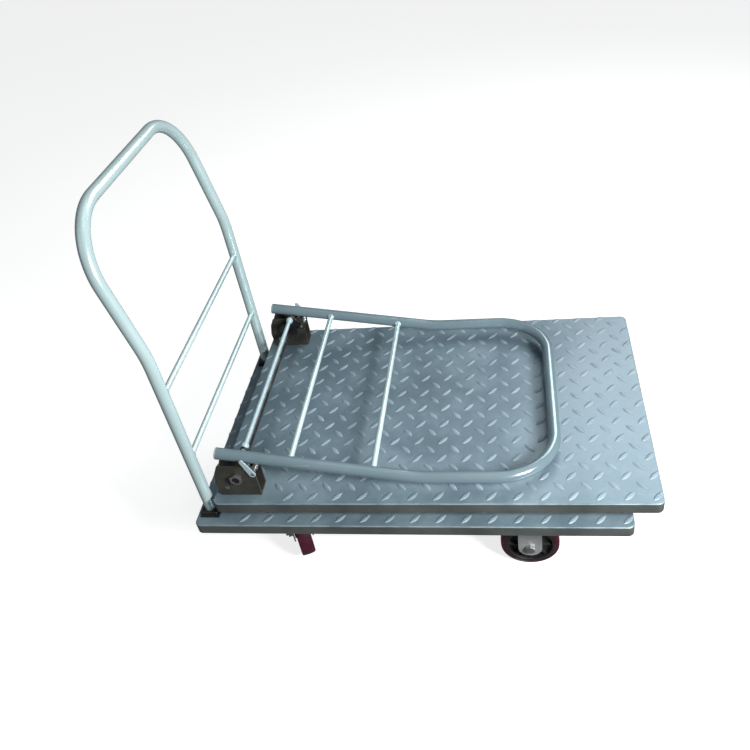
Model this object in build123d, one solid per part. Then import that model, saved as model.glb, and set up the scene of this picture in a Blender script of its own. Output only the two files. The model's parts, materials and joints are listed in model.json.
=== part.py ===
from build123d import *
import os
from math import acos, cos, pi, radians, sin, sqrt, tan

# Nested pair of steel platform trucks. Millimetres, +Z up, +X away from the handle end.
# Everything is drawn about the middle of the lower deck, and saved about the middle of the
# whole pair's footprint on the floor.

# ---- overall sizes ----
DECK_L, DECK_W = 900.0, 600.0      # each deck
DECK_H = 210.0                     # floor to the top of the lower deck
HANDLE_H = 690.0                   # deck top to the centre of the handle's top bar
STILE_Y = 255.0                    # middle of the truck to the centre of each handle stile
WHEEL_D = 125.0

# ---- deck ----
SHEET_T = 2.5
SKIRT_H = 25.0
CORNER_R = 14.0
BEND_R = 3.0                       # outside radius of the skirt's fold
CHANNEL_H, CHANNEL_W, CHANNEL_L = 50.0, 110.0, 530.0
RIB_H, RIB_T, RIB_Y = 30.0, 3.0, 120.0
CASTER_X = 252.0                   # middle of the deck to each caster plate
STACK_GAP = 0.2                    # between the upper deck's channels and the lower deck
NEST = (52.0, 14.0)                # how far the upper deck sits from the lower one, in X and Y

# ---- handle ----
TUBE_D, TUBE_T = 25.0, 1.5
BAR_D = 12.0
BAR_Z = (160.0, 330.0)             # crossbars, above the deck
LEAN_Z, LEAN_DEG, LEAN_R = 420.0, 10.0, 300.0
LOOP_R = 118.0
WELD_GAP = 0.02
PLUG_T, PLUG_IN = 3.0, 14.0

# ---- socket of the lower handle ----
SOCKET_X = 28.0                    # deck end to the stile's centre
SOCKET_W, SOCKET_UP, SOCKET_DOWN, SOCKET_FLOOR = 36.0, 10.0, 48.0, 4.0
SOCKET_FIT = 0.1
SOCKET_FLANGE, SOCKET_FLANGE_T = 46.0, 3.0
SOCKET_CORNER, SOCKET_EDGE = 4.0, 1.5
CLAMP_D, CLAMP_Z = 8.0, -36.0       # clamp screw, and its height from the deck's top

# ---- hinge of the upper handle, measured from the upper deck's handle end and its top ----
PIVOT_X, PIVOT_Z, PIVOT_D = 62.0, 52.0, 16.0
STILE_OFFSET = 46.0                # pivot to the stile's centre
FOOT_BELOW = 43.0                  # pivot to the bare end of the stile
FOLD_DROP = 10.6                   # degrees the folded handle points below level
CHEEK_X0, CHEEK_X1, CHEEK_H, CHEEK_T = 12.0, 104.0, 84.0, 4.0
CHEEK_CUT = ((4.0, 0.0), (0.0, 38.0), (5.0, 65.5), (14.0, 84.0))   # slanted end, from CHEEK_X0
CHEEK_NIB = 6.0                    # cut corner at the other end
CHEEK_GAP = 2.5                    # stile to each cheek
BASE_T = 4.0
BRACKET_BOLTS = (50.0, 88.0)       # bolts through each bracket's base
LUG_T, LUG_R = 6.0, 14.0
DISC_R, DISC_T, NOTCH_W, NOTCH_D = 24.0, 5.0, 7.0, 4.0
DISC_GAP = 3.0                     # inner cheek to the disc and the pawl
LATCH_X, LATCH_Z, LATCH_D = 100.0, 64.0, 8.0
ROD_X, ROD_Z, ROD_D = 76.0, 90.0, 10.0
KNOB_R = 8.5                       # ball at each end of the toe bar
PAWL_R = (7.5, 7.0)
TOOTH_DEG, TOOTH_GAP, TOOTH_L = 50.0, 0.3, 12.0
TOOTH_HALF = (2.5, 4.5)            # half width at the tip and at the root
LEVER_T, LEVER_R, LEVER_TIP = 3.0, (7.0, 4.5), (-15.0, 36.0)       # tip measured from the latch pin
SPRING_TURNS, SPRING_PITCH, SPRING_WIRE_R, SPRING_GAP = 5, 2.6, 1.0, 0.6
STOP_D, STOP_GAP = 10.0, 0.3
STOP_UP_Z, STOP_REST_X = 22.0, 88.0
RUN_FIT = 0.05                     # radial clearance of a turning shaft
FIT = 0.05                         # radial clearance of a fixed pin or screw
SIDE_GAP = 0.4                     # between turning faces

# ---- casters ----
PLATE_X, PLATE_Y, PLATE_T = 105.0, 85.0, 4.0
PLATE_CORNER, BOLT_PAST = 8.0, 10.0
BOLT_X, BOLT_Y, BOLT_D = 40.0, 30.0, 8.0
FIXED_Y, SWIVEL_Y, TRAIL = 215.0, 220.0, 36.0
SWIVEL_TURN = 116.0                # the swivel wheels trail toward the far side and the handle end
TREAD_W, TYRE_T = 32.0, 12.0
RIM_T, RIM_SLOPE, WEB_HALF, HUB_SLOPE = 5.0, 1.5, 5.0, 2.0
TREAD_EDGE = ((6.0, 0.0), (2.0, 2.5), (0.3, 7.0))   # drop from the crown, step in from the wall
HUB_W, HUB_R, FORK_GAP, FORK_T = 38.0, 18.0, 40.0, 3.0
LEG_R = 25.0                       # half width of a fork leg
AXLE_D, AXLE_PAST, BORE_GAP = 12.0, 14.0, 1.5
BEARING_D, BEARING_W = 28.0, 8.0
RACE_R, RACE_T, BALL_R, BALL_D, BALLS = 34.0, 7.0, 27.0, 6.8, 16
BALL_GAP = 0.1
CROWN_T = 5.0

# ---- hexagons: across flats, head height, nut height, by thread ----
HEX = {8: (13.0, 5.5, 6.5), 12: (19.0, 7.0, 9.0), 16: (24.0, 10.0, 8.0)}

# ---- worked out from the above ----
AXLE_Z = WHEEL_D / 2
WEB_Z = DECK_H - SHEET_T - CHANNEL_H            # underside of the lower channels
UP_Z = DECK_H + STACK_GAP + CHANNEL_H + SHEET_T  # top of the upper deck
UP_END = NEST[0] - DECK_L / 2                    # handle end of the upper deck
PIVOT = (UP_END + PIVOT_X, UP_Z + PIVOT_Z)
INNER = STILE_Y - TUBE_D / 2 - CHEEK_GAP         # inner cheek's face beside the stile
OUTER = STILE_Y + TUBE_D / 2 + CHEEK_GAP
FOLD = 90 + FOLD_DROP                            # swing from upright to folded
UP_Y = NEST[1]                                   # middle of the upper deck
DISC_Y = INNER - CHEEK_T - DISC_GAP              # outer face of each disc and pawl
OUTSIDE = OUTER + CHEEK_T + SIDE_GAP             # first face beyond the outer cheek
LEAN = tan(radians(LEAN_DEG)) * (HANDLE_H - LEAN_Z)
LOW_X = -DECK_L / 2 + SOCKET_X                   # stiles of the lower handle
BOLT_PLACES = [(x, y) for x in (-BOLT_X, BOLT_X) for y in (-BOLT_Y, BOLT_Y)]
MIDDLE = Pos(-(NEST[0] + DECK_L / 2 + LOW_X - LEAN - TUBE_D / 2) / 2, -NEST[1] / 2, 0)

os.makedirs("parts", exist_ok=True)


def save(name, *solids):
    shapes = [s for item in solids for s in (item if isinstance(item, (list, tuple)) else [item])]
    flat = [MIDDLE * s for shape in shapes for s in shape.solids()]
    export_step(flat[0] if len(flat) == 1 else Compound(children=flat), f"parts/{name}.step")


def rod(radius, start, end):
    """Round bar between two points."""
    a, b = Vector(*start), Vector(*end)
    return extrude(Plane(origin=a, z_dir=b - a) * Circle(radius), (b - a).length)


def block(x, y, z):
    """Box given by its (low, high) limits."""
    size = [b - a for a, b in (x, y, z)]
    mid = [(a + b) / 2 for a, b in (x, y, z)]
    return Pos(*mid) * Box(*size)


def hexagon(across, height, base, direction):
    """Hexagonal prism standing on a base point."""
    plane = Plane(origin=Vector(*base), z_dir=Vector(*direction))
    return extrude(plane * RegularPolygon(across / 2, 6, major_radius=False), height)


def head(thread, base, direction):
    across, height, _ = HEX[thread]
    return hexagon(across, height, base, direction)


def nut(thread, base, direction):
    across, _, height = HEX[thread]
    top = Vector(*base) + Vector(*direction) * height
    return hexagon(across, height, base, direction) - rod(thread / 2 + FIT, tuple(base), tuple(top))


def side_plate(face, a, b):
    """Plate cut to an outline drawn in X and Z, between two Y positions."""
    plane = Plane(origin=(0, max(a, b), 0), x_dir=(1, 0, 0), z_dir=(0, -1, 0))
    return extrude(plane * face, abs(b - a))


# ---- decks ----
def deck_pan(cx, cy, top):
    def tray(inset, height, edge):
        body = Box(DECK_L - 2 * inset, DECK_W - 2 * inset, height)
        body = fillet(body.edges().filter_by(Axis.Z), CORNER_R - inset)
        return fillet(body.faces().sort_by(Axis.Z)[-1].edges(), edge)
    outer = Pos(cx, cy, top - SKIRT_H / 2) * tray(0, SKIRT_H, BEND_R)
    depth = SKIRT_H - SHEET_T
    inner = Pos(cx, cy, top - SHEET_T - depth / 2) * tray(SHEET_T, depth, BEND_R - SHEET_T)
    return outer - inner


def channels(cx, cy, top):
    made = []
    for x in (-CASTER_X, 0, CASTER_X):
        z1 = top - SHEET_T
        z0 = z1 - CHANNEL_H
        half, run = CHANNEL_W / 2, CHANNEL_L / 2
        body = block((cx + x - half, cx + x + half), (cy - run, cy + run), (z0, z1))
        body = fillet(body.faces().sort_by(Axis.Z)[0].edges().filter_by(Axis.Y), BEND_R)
        body -= block((cx + x - half + SHEET_T, cx + x + half - SHEET_T), (cy - run, cy + run),
                      (z0 + SHEET_T, z1))
        if x:
            y = FIXED_Y if x > 0 else SWIVEL_Y
            for side in (-1, 1):
                for bx, by in BOLT_PLACES:
                    px, py = cx + x + bx, cy + side * y + by
                    body -= rod(BOLT_D / 2 + FIT, (px, py, z0), (px, py, z0 + SHEET_T))
        made.append(body)
    return made


def ribs(cx, cy, top):
    z1 = top - SHEET_T
    reach = DECK_L / 2 - BEND_R
    step = CASTER_X - CHANNEL_W / 2
    spans = [(-reach, -CASTER_X - CHANNEL_W / 2), (-step, -CHANNEL_W / 2), (CHANNEL_W / 2, step),
             (CASTER_X + CHANNEL_W / 2, reach)]
    made = []
    for a, b in spans:
        for side in (-1, 1):
            y = cy + side * RIB_Y
            depth = RIB_H if abs(a + b) < DECK_L / 2 else SKIRT_H - SHEET_T
            made.append(block((cx + a, cx + b), (y, y + RIB_T), (z1 - depth, z1))
                        + block((cx + a, cx + b), (y, y + RIB_H), (z1 - RIB_T, z1)))
    return made


# ---- handles, drawn upright: stile centre at x = 0, deck top at z = 0 ----
def bend(before, corner, after, radius):
    """Tangent arc that rounds a corner between two straight runs."""
    p, c, n = Vector(*before), Vector(*corner), Vector(*after)
    u, v = (p - c).normalized(), (n - c).normalized()
    half = acos(u.dot(v)) / 2
    reach = radius / tan(half)
    middle = c + (u + v).normalized() * (radius / sin(half) - radius)
    return c + u * reach, middle, c + v * reach


def loop_path(foot):
    points = [(0, -STILE_Y, foot), (0, -STILE_Y, LEAN_Z), (-LEAN, -STILE_Y, HANDLE_H),
              (-LEAN, STILE_Y, HANDLE_H), (0, STILE_Y, LEAN_Z), (0, STILE_Y, foot)]
    radii = [LEAN_R, LOOP_R, LOOP_R, LEAN_R]
    edges, last = [], Vector(*points[0])
    for i, radius in enumerate(radii):
        a, m, b = bend(points[i], points[i + 1], points[i + 2], radius)
        edges += [Line(last, a), ThreePointArc(a, m, b)]
        last = b
    edges.append(Line(last, Vector(*points[-1])))
    return Wire(edges)


def handle_tube(foot):
    path = loop_path(foot)
    section = Plane(origin=(0, -STILE_Y, foot), z_dir=(0, 0, 1))
    return (sweep(section * Circle(TUBE_D / 2), path=path)
            - sweep(section * Circle(TUBE_D / 2 - TUBE_T), path=path))


def crossbar(z):
    bar = rod(BAR_D / 2, (0, -STILE_Y, z), (0, STILE_Y, z))
    for y in (-STILE_Y, STILE_Y):
        bar -= rod(TUBE_D / 2 + WELD_GAP, (0, y, z - 20), (0, y, z + 20))
    return bar


def end_plugs(foot):
    made = []
    for y in (-STILE_Y, STILE_Y):
        cap = rod(TUBE_D / 2, (0, y, foot - PLUG_T), (0, y, foot))
        cap = fillet(cap.edges().sort_by(Axis.Z)[0], PLUG_T * 0.6)
        made.append(cap + rod(TUBE_D / 2 - TUBE_T - FIT, (0, y, foot), (0, y, foot + PLUG_IN)))
    return made


# ---- lower truck ----
lower_pan = deck_pan(0, 0, DECK_H)
sockets, clamps = [], []
for side in (-1, 1):
    y = side * STILE_Y
    half = SOCKET_W / 2
    hole = half + FIT
    lower_pan -= block((LOW_X - hole, LOW_X + hole), (y - hole, y + hole), (DECK_H - 2 * SHEET_T, DECK_H))
    low = DECK_H - SOCKET_DOWN - SOCKET_FLOOR
    body = block((LOW_X - half, LOW_X + half), (y - half, y + half), (low, DECK_H + SOCKET_UP))
    body = fillet(body.edges().filter_by(Axis.Z), SOCKET_CORNER)
    wide = SOCKET_FLANGE / 2
    body += block((LOW_X - half, LOW_X + wide), (y - wide, y + wide), (DECK_H, DECK_H + SOCKET_FLANGE_T))
    body = chamfer(body.faces().sort_by(Axis.Z)[-1].edges(), SOCKET_EDGE)
    body -= rod(TUBE_D / 2 + SOCKET_FIT, (LOW_X, y, low + SOCKET_FLOOR), (LOW_X, y, DECK_H + SOCKET_UP + 1))
    tip = side * (STILE_Y + TUBE_D / 2 + STOP_GAP)
    seat = side * (STILE_Y + half + SOCKET_FIT)
    z = DECK_H + CLAMP_Z
    body -= rod(CLAMP_D / 2 + FIT, (LOW_X, y, z), (LOW_X, seat, z))
    sockets.append(body)
    clamps.append(rod(CLAMP_D / 2, (LOW_X, tip, z), (LOW_X, seat, z))
                  + head(CLAMP_D, (LOW_X, seat, z), (0, side, 0)))
save("lower_deck_pan", lower_pan)
save("lower_cross_channels", channels(0, 0, DECK_H))
save("lower_side_ribs", ribs(0, 0, DECK_H))
save("lower_handle_sockets", sockets)
save("lower_socket_clamp_screws", clamps)

low_foot = -SOCKET_DOWN + PLUG_T + STACK_GAP
at_socket = Pos(LOW_X, 0, DECK_H)
save("lower_handle_tube", at_socket * handle_tube(low_foot))
save("lower_handle_crossbar_low", at_socket * crossbar(BAR_Z[0]))
save("lower_handle_crossbar_high", at_socket * crossbar(BAR_Z[1]))
save("lower_handle_end_plugs", [at_socket * p for p in end_plugs(low_foot)])


# ---- casters: the wheel's axis lies along Y, centred on x = 0, y = 0 ----
def turned(profile):
    """Ring turned about the axle from (radius, y) corners."""
    face = make_face(Polyline(*profile, close=True))
    return Pos(0, 0, AXLE_Z) * revolve(face, Axis.Y, 360)


def wheel_core():
    rim, under = WHEEL_D / 2 - TYRE_T, WHEEL_D / 2 - TYRE_T - RIM_T
    bore, seat = AXLE_D / 2 + BORE_GAP, BEARING_D / 2 + FIT
    half = [(bore, HUB_W / 2 - BEARING_W), (seat, HUB_W / 2 - BEARING_W), (seat, HUB_W / 2),
            (HUB_R, HUB_W / 2), (HUB_R + HUB_SLOPE, WEB_HALF), (under, WEB_HALF),
            (under + RIM_SLOPE, TREAD_W / 2), (rim, TREAD_W / 2)]
    return turned(half + [(r, -y) for r, y in reversed(half)])


def tyre():
    wall = [(WHEEL_D / 2 - drop, TREAD_W / 2 - step) for drop, step in TREAD_EDGE]
    half = [(WHEEL_D / 2 - TYRE_T + WELD_GAP, TREAD_W / 2), *wall]
    return turned(half + [(WHEEL_D / 2, 0)] + [(r, -y) for r, y in reversed(half)])


def bearings():
    made = []
    for side in (-1, 1):
        ends = [(0, side * y, AXLE_Z) for y in (HUB_W / 2, HUB_W / 2 - BEARING_W + WELD_GAP)]
        made.append(rod(BEARING_D / 2, *ends) - rod(AXLE_D / 2 + RUN_FIT, *ends))
    return made


def axle():
    half = FORK_GAP / 2 + FORK_T
    bolt = rod(AXLE_D / 2, (0, -half, AXLE_Z), (0, half + AXLE_PAST, AXLE_Z))
    return [bolt + head(AXLE_D, (0, -half, AXLE_Z), (0, -1, 0)), nut(AXLE_D, (0, half, AXLE_Z), (0, 1, 0))]


def bolted_plate(z0, z1):
    body = block((-PLATE_X / 2, PLATE_X / 2), (-PLATE_Y / 2, PLATE_Y / 2), (z0, z1))
    body = fillet(body.edges().filter_by(Axis.Z), PLATE_CORNER)
    for x, y in BOLT_PLACES:
        body -= rod(BOLT_D / 2 + FIT, (x, y, z0), (x, y, z1))
    return body


def fork_legs(top, axle_x):
    """Pair of legs from the crown to the axle."""
    outline = make_face(Polyline((-LEG_R, top), (LEG_R, top), (axle_x + LEG_R, AXLE_Z),
                                 (axle_x - LEG_R, AXLE_Z), close=True))
    outline += Pos(axle_x, AXLE_Z) * Circle(LEG_R)
    outline -= Pos(axle_x, AXLE_Z) * Circle(AXLE_D / 2 + FIT)
    near, far = FORK_GAP / 2, FORK_GAP / 2 + FORK_T
    return side_plate(outline, -far, -near), side_plate(outline, near, far)


def fixed_fork():
    a, b = fork_legs(WEB_Z - PLATE_T, 0)
    return bolted_plate(WEB_Z - PLATE_T, WEB_Z) + a + b


def swivel_plate():
    low = WEB_Z - PLATE_T
    body = bolted_plate(low, WEB_Z) + rod(RACE_R, (0, 0, low - RACE_T), (0, 0, low))
    return body - rod(AXLE_D / 2 + FIT, (0, 0, low - RACE_T), (0, 0, WEB_Z))


BALL_Z = WEB_Z - PLATE_T - RACE_T - BALL_GAP - BALL_D / 2
CROWN_Z = BALL_Z - BALL_D / 2 - BALL_GAP


def balls():
    return [Pos(BALL_R * cos(2 * pi * i / BALLS), BALL_R * sin(2 * pi * i / BALLS), BALL_Z)
            * Sphere(BALL_D / 2) for i in range(BALLS)]


def kingpin():
    low = CROWN_Z - CROWN_T - SIDE_GAP
    return rod(AXLE_D / 2, (0, 0, low), (0, 0, WEB_Z)) + head(AXLE_D, (0, 0, low), (0, 0, -1))


def swivel_fork():
    a, b = fork_legs(CROWN_Z, TRAIL)
    ends = (0, 0, CROWN_Z - CROWN_T), (0, 0, CROWN_Z)
    return rod(RACE_R, *ends) + a + b - rod(AXLE_D / 2 + RUN_FIT, *ends)


for side, word in ((-1, "near"), (1, "far")):
    at_fixed = Pos(CASTER_X, side * FIXED_Y, 0)
    at_plate = Pos(-CASTER_X, side * SWIVEL_Y, 0)
    at_fork = at_plate * Rot(0, 0, SWIVEL_TURN)
    at_wheel = at_fork * Pos(TRAIL, 0, 0)
    save(f"fixed_{word}_fork", at_fixed * fixed_fork())
    save(f"swivel_{word}_plate", at_plate * swivel_plate())
    save(f"swivel_{word}_balls", [at_plate * b for b in balls()])
    save(f"swivel_{word}_kingpin", at_plate * kingpin())
    save(f"swivel_{word}_fork", at_fork * swivel_fork())
    for kind, place in (("fixed", at_fixed), ("swivel", at_wheel)):
        save(f"{kind}_{word}_wheel_core", place * wheel_core())
        save(f"{kind}_{word}_tyre", place * tyre())
        save(f"{kind}_{word}_bearings", [place * b for b in bearings()])
        save(f"{kind}_{word}_axle", [place * b for b in axle()])

bolts, nuts = [], []
for x, y in ((CASTER_X, FIXED_Y), (-CASTER_X, SWIVEL_Y)):
    for side in (-1, 1):
        for bx, by in BOLT_PLACES:
            px, py = x + bx, side * y + by
            under, over = WEB_Z - PLATE_T, WEB_Z + SHEET_T
            bolts.append(rod(BOLT_D / 2, (px, py, under), (px, py, over + BOLT_PAST))
                         + head(BOLT_D, (px, py, under), (0, 0, -1)))
            nuts.append(nut(BOLT_D, (px, py, over), (0, 0, 1)))
save("caster_bolts", bolts)
save("caster_nuts", nuts)

# ---- upper deck ----
upper_pan = deck_pan(NEST[0], UP_Y, UP_Z)
bracket_bolts = []
for side in (-1, 1):
    for bx in BRACKET_BOLTS:
        px, py = UP_END + bx, UP_Y + side * STILE_Y
        under, over = UP_Z - SHEET_T, UP_Z + BASE_T
        upper_pan -= rod(BOLT_D / 2 + FIT, (px, py, under), (px, py, UP_Z))
        bracket_bolts.append(rod(BOLT_D / 2, (px, py, under - BOLT_PAST), (px, py, over))
                             + head(BOLT_D, (px, py, over), (0, 0, 1)))
        bracket_bolts.append(nut(BOLT_D, (px, py, under), (0, 0, -1)))
save("upper_deck_pan", upper_pan)
save("upper_cross_channels", channels(NEST[0], UP_Y, UP_Z))
save("upper_side_ribs", ribs(NEST[0], UP_Y, UP_Z))
save("bracket_bolts", bracket_bolts)


# ---- hinge brackets ----
def hinge_point(x, z):
    return UP_END + x, UP_Z + z


STILE_UP_X = PIVOT_X - STILE_OFFSET                        # stile's centre when upright
STOPS = [(STILE_UP_X + TUBE_D / 2 + STOP_GAP + STOP_D / 2, STOP_UP_Z)]
slope = radians(FOLD_DROP)
under_x = PIVOT_X + (STILE_OFFSET - TUBE_D / 2) * sin(slope)   # a point on the folded stile's underside
under_z = PIVOT_Z + (STILE_OFFSET - TUBE_D / 2) * cos(slope)
rest_z = under_z - (STOP_REST_X - under_x) * tan(slope) - (STOP_D / 2 + STOP_GAP) / cos(slope)
STOPS.append((STOP_REST_X, rest_z))


def cheek_outline():
    points = [(CHEEK_X0 + x, z) for x, z in CHEEK_CUT]
    points += [(CHEEK_X1 - CHEEK_NIB, CHEEK_H), (CHEEK_X1, CHEEK_H - CHEEK_NIB), (CHEEK_X1, 0)]
    face = make_face(Polyline(*[hinge_point(x, z) for x, z in points], close=True))
    face -= Pos(*PIVOT) * Circle(PIVOT_D / 2 + RUN_FIT)
    face -= Pos(*hinge_point(LATCH_X, LATCH_Z)) * Circle(LATCH_D / 2 + RUN_FIT)
    for x, z in STOPS:
        face -= Pos(*hinge_point(x, z)) * Circle(STOP_D / 2 + FIT)
    return face


stop_pins = []
for side, word in ((-1, "near"), (1, "far")):
    faces = [UP_Y + side * y for y in (INNER - CHEEK_T, INNER, OUTER, OUTER + CHEEK_T)]
    base = sorted((faces[0], faces[3]))
    body = side_plate(cheek_outline(), *faces[:2]) + side_plate(cheek_outline(), *faces[2:])
    body += block((UP_END + CHEEK_X0 + CHEEK_CUT[0][0], UP_END + CHEEK_X1), base, (UP_Z, UP_Z + BASE_T))
    for bx in BRACKET_BOLTS:
        px, py = UP_END + bx, UP_Y + side * STILE_Y
        body -= rod(BOLT_D / 2 + FIT, (px, py, UP_Z), (px, py, UP_Z + BASE_T))
    save(f"hinge_bracket_{word}", body)
    for x, z in STOPS:
        px, pz = hinge_point(x, z)
        stop_pins.append(rod(STOP_D / 2, (px, base[0], pz), (px, base[1], pz)))
save("hinge_stop_pins", stop_pins)

# ---- upper handle: drawn upright, then swung down about the pivot to its folded rest ----
swing = Pos(PIVOT[0], 0, PIVOT[1]) * Rot(0, FOLD, 0) * Pos(-PIVOT[0], 0, -PIVOT[1])
upright = swing * Pos(UP_END + STILE_UP_X, UP_Y, UP_Z)
up_foot = PIVOT_Z - FOOT_BELOW
save("upper_handle_tube", upright * handle_tube(up_foot))
save("upper_handle_crossbar_low", upright * crossbar(BAR_Z[0]))
save("upper_handle_crossbar_high", upright * crossbar(BAR_Z[1]))
save("upper_handle_end_plugs", [upright * p for p in end_plugs(up_foot)])

lugs, discs, end_nuts = [], [], []
nut_across, _, nut_high = HEX[PIVOT_D]
shaft_end = OUTSIDE + nut_high
for side in (-1, 1):
    y = UP_Y + side * STILE_Y
    lug = make_face(Polyline((-STILE_OFFSET, -LUG_R), (-STILE_OFFSET, LUG_R), (0, LUG_R), (0, -LUG_R),
                             close=True))
    lug = lug + Circle(LUG_R) - Circle(PIVOT_D / 2 + WELD_GAP)
    lug = side_plate(Pos(*PIVOT) * lug, y - LUG_T / 2, y + LUG_T / 2)
    cx = PIVOT[0] - STILE_OFFSET
    lug -= rod(TUBE_D / 2 + WELD_GAP, (cx, y, PIVOT[1] - 2 * LUG_R), (cx, y, PIVOT[1] + 2 * LUG_R))
    lug = lug.solids().sort_by(Axis.X)[-1]
    lugs.append(swing * lug)
    disc = Circle(DISC_R) - Circle(PIVOT_D / 2 + WELD_GAP)
    disc -= Rot(0, 0, TOOTH_DEG) * Pos(DISC_R, 0) * Rectangle(2 * NOTCH_D, NOTCH_W)
    discs.append(swing * side_plate(Pos(*PIVOT) * disc, UP_Y + side * DISC_Y, UP_Y + side * (DISC_Y - DISC_T)))
    ends = [(PIVOT[0], UP_Y + side * at, PIVOT[1]) for at in (OUTSIDE, shaft_end)]
    end_nuts.append(hexagon(nut_across, nut_high, ends[0], (0, side, 0)) - rod(PIVOT_D / 2 + WELD_GAP, *ends))
save("handle_lugs", lugs)
save("lock_discs", discs)
save("pivot_shaft", rod(PIVOT_D / 2, (PIVOT[0], UP_Y - shaft_end, PIVOT[1]),
                        (PIVOT[0], UP_Y + shaft_end, PIVOT[1])))
save("pivot_end_nuts", end_nuts)

# ---- latch: pawls, pins, outer levers and the bar that joins them ----
latch, bar = hinge_point(LATCH_X, LATCH_Z), hinge_point(ROD_X, ROD_Z)
tooth_r = DISC_R + TOOTH_GAP
tooth = [(PIVOT[0] + r * cos(radians(TOOTH_DEG)) - s * sin(radians(TOOTH_DEG)),
          PIVOT[1] + r * sin(radians(TOOTH_DEG)) + s * cos(radians(TOOTH_DEG)))
         for r, s in ((tooth_r, -TOOTH_HALF[0]), (tooth_r, TOOTH_HALF[0]),
                      (tooth_r + TOOTH_L, TOOTH_HALF[1]), (tooth_r + TOOTH_L, -TOOTH_HALF[1]))]


def link(a, b, ra, rb):
    """Flat link with round ends."""
    dx, dz = b[0] - a[0], b[1] - a[1]
    length = sqrt(dx * dx + dz * dz)
    nx, nz = -dz / length, dx / length
    body = make_face(Polyline((a[0] + nx * ra, a[1] + nz * ra), (b[0] + nx * rb, b[1] + nz * rb),
                              (b[0] - nx * rb, b[1] - nz * rb), (a[0] - nx * ra, a[1] - nz * ra), close=True))
    return body + Pos(*a) * Circle(ra) + Pos(*b) * Circle(rb)


def coil_spring(y):
    """Close coil round the latch pin, its middle at y."""
    height = SPRING_PITCH * SPRING_TURNS
    line = Helix(pitch=SPRING_PITCH, height=height, radius=LATCH_D / 2 + SPRING_GAP + SPRING_WIRE_R)
    wire = sweep(Plane(origin=line @ 0, z_dir=line % 0) * Circle(SPRING_WIRE_R), path=line, is_frenet=True)
    return Pos(latch[0], y, latch[1]) * Rot(90, 0, 0) * Pos(0, 0, -height / 2) * wire


lever_tip = hinge_point(LATCH_X + LEVER_TIP[0], LATCH_Z + LEVER_TIP[1])
pin_hole = Pos(*latch) * Circle(LATCH_D / 2 + WELD_GAP)
pawl = link(latch, bar, *PAWL_R) + make_face(Polyline(*tooth, close=True))
pawl -= pin_hole + Pos(*bar) * Circle(ROD_D / 2 + WELD_GAP)
lever = link(latch, lever_tip, *LEVER_R) - pin_hole
pawls, pins, levers, springs = [], [], [], []
for side in (-1, 1):
    faces = (DISC_Y - DISC_T, DISC_Y, OUTSIDE, OUTSIDE + LEVER_T)
    inside, within, outside, end = (UP_Y + side * y for y in faces)
    pawls.append(side_plate(pawl, inside, within))
    pins.append(rod(LATCH_D / 2, (latch[0], inside, latch[1]), (latch[0], end, latch[1])))
    levers.append(side_plate(lever, outside, end))
    springs.append(coil_spring(UP_Y + side * STILE_Y))
save("latch_pawls", pawls)
save("latch_pins", pins)
save("latch_levers", levers)
save("latch_springs", springs)
toe_bar = rod(ROD_D / 2, (bar[0], UP_Y - DISC_Y, bar[1]), (bar[0], UP_Y + DISC_Y, bar[1]))
for side in (-1, 1):
    toe_bar += Pos(bar[0], UP_Y + side * (DISC_Y - DISC_T - KNOB_R), bar[1]) * Sphere(KNOB_R)
save("latch_toe_bar", toe_bar)
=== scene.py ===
"""Looks of the nested pair of platform trucks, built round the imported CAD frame. Metres, Z up."""

import json
import math

import bmesh
import bpy
import numpy as np
from bpy.props import FloatProperty, FloatVectorProperty, IntProperty, PointerProperty
from mathutils import Matrix, Vector


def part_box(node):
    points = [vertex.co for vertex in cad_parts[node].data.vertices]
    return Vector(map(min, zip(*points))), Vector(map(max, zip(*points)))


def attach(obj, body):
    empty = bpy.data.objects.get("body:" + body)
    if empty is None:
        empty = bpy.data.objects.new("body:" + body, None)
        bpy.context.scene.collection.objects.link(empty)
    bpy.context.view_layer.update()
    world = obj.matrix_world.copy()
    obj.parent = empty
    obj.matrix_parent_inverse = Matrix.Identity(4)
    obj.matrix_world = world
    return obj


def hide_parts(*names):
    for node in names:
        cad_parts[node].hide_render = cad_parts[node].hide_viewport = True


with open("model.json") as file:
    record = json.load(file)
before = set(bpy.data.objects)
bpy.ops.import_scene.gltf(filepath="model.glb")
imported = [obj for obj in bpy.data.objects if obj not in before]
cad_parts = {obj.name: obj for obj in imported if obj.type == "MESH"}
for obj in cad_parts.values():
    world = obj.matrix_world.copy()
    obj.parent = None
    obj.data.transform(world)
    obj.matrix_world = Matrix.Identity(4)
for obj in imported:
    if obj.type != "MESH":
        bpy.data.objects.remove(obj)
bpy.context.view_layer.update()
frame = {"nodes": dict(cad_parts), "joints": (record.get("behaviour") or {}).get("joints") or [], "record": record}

bl_info = {
    "name": "Nested Platform Trucks",
    "version": (1, 0, 0),
    "blender": (4, 5, 0),
    "location": "3D View > Sidebar > Truck",
    "description": "Builds the visible model of two stacked tread-plate platform trucks",
    "category": "Object",
}

JOINTS = {joint["name"]: joint for joint in frame["joints"]}
LOWER_PAN, UPPER_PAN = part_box("lower_deck_pan"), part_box("upper_deck_pan")
SIDES = ("near", "far")
LOOK = "look_"  # keeps these finishes apart from the CAD's own


# ---------------------------------------------------------------- settings

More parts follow.
